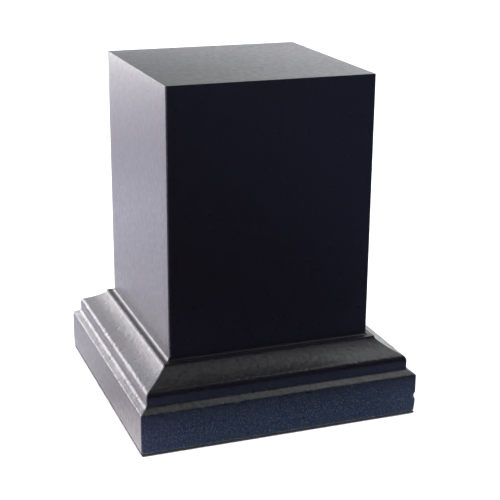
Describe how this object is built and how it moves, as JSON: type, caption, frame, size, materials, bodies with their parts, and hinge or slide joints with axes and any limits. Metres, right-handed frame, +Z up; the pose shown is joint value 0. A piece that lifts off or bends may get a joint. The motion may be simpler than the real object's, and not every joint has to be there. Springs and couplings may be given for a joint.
{
  "type": "display plinth",
  "caption": "Square satin-black tabletop display plinth: a mitred hollow case standing on a moulded base with a sloped foot board and a felt underside.",
  "frame": {"origin": "middle of the underside, on the surface that the felt rests on", "axes": "+Z up; +X to the right and -Y towards the viewer, square to the faces of the case"},
  "size_m": [0.1102, 0.1102, 0.1317],
  "materials": {
    "black_lacquered_board": "satin black lacquer on fibreboard",
    "raw_board": "raw medium-density fibreboard",
    "softwood": "planed pine, unfinished",
    "beech": "turned beech, unfinished",
    "zinc_plated_steel": "yellowish zinc plate",
    "black_felt": "thin self-adhesive felt"
  },
  "bodies": {
    "root": {"front_panel": "black_lacquered_board", "rear_panel": "black_lacquered_board", "left_panel": "black_lacquered_board", "right_panel": "black_lacquered_board", "top_panel": "black_lacquered_board", "corner_block_front_left": "softwood", "corner_block_front_right": "softwood", "corner_block_rear_left": "softwood", "corner_block_rear_right": "softwood", "case_floor": "raw_board", "cove_board": "black_lacquered_board", "foot_board": "black_lacquered_board", "locating_dowels": "beech", "base_screws": "zinc_plated_steel", "felt_liner": "black_felt"}
  },
  "joints": []
}
